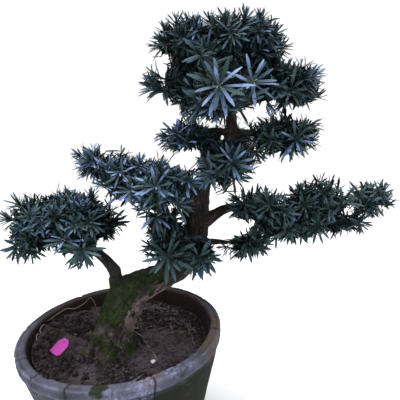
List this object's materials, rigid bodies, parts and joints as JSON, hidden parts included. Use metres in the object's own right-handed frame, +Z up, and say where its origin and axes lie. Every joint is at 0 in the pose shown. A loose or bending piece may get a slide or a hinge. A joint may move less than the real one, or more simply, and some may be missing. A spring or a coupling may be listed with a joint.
{
  "type": "potted bonsai tree",
  "caption": "Buddhist pine bonsai with a leaning trunk and tiered pads of strap-shaped leaves, in a round tapering clay pot filled with soil.",
  "frame": {"origin": "centre of the pot's flat underside, on the surface it stands on", "axes": "+Z up, -Y towards the side that the tree is viewed from, +X towards the long right-hand bough"},
  "size_m": [0.8204, 0.45, 0.9566],
  "materials": {
    "clay": "weathered unglazed fired clay",
    "earth": "damp crumbly soil",
    "tag_plastic": "bright pink, blank",
    "bark": "fissured bark, mossy below",
    "foliage": "dark blue-green leathery leaves with a pale sheen"
  },
  "bodies": {
    "root": {"pot": "clay", "soil": "earth", "tag": "tag_plastic", "trunk": "bark", "bough_left": "bark", "bough_left_back": "bark", "bough_right": "bark", "bough_right_low": "bark", "bough_front_low": "bark", "bough_middle": "bark", "bough_back": "bark", "bough_upper_left": "bark", "bough_upper_right": "bark", "bough_upper_back": "bark", "bough_crown_left": "bark", "bough_crown_right": "bark", "bough_crown_front": "bark", "pad_left_outer": "foliage", "pad_left_inner": "foliage", "pad_left_right": "foliage", "pad_left_low": "foliage", "pad_left_back": "foliage", "pad_middle_tip": "foliage", "pad_middle": "foliage", "pad_middle_front": "foliage", "pad_middle_back": "foliage", "pad_centre_left": "foliage", "pad_front_low": "foliage", "pad_front_low_right": "foliage", "pad_right_low": "foliage", "pad_right_inner": "foliage", "pad_right_middle": "foliage", "pad_right_under": "foliage", "pad_right_end": "foliage", "pad_right_tip": "foliage", "pad_waist": "foliage", "pad_waist_back": "foliage", "pad_upper_left": "foliage", "pad_upper_right": "foliage", "pad_crown_left": "foliage", "pad_crown_inner_left": "foliage", "pad_crown_front": "foliage", "pad_crown_inner_right": "foliage", "pad_crown_right": "foliage", "pad_crown_back": "foliage", "pad_top_left": "foliage", "pad_top_middle": "foliage", "pad_top_right": "foliage", "pad_top_back": "foliage"}
  },
  "joints": []
}
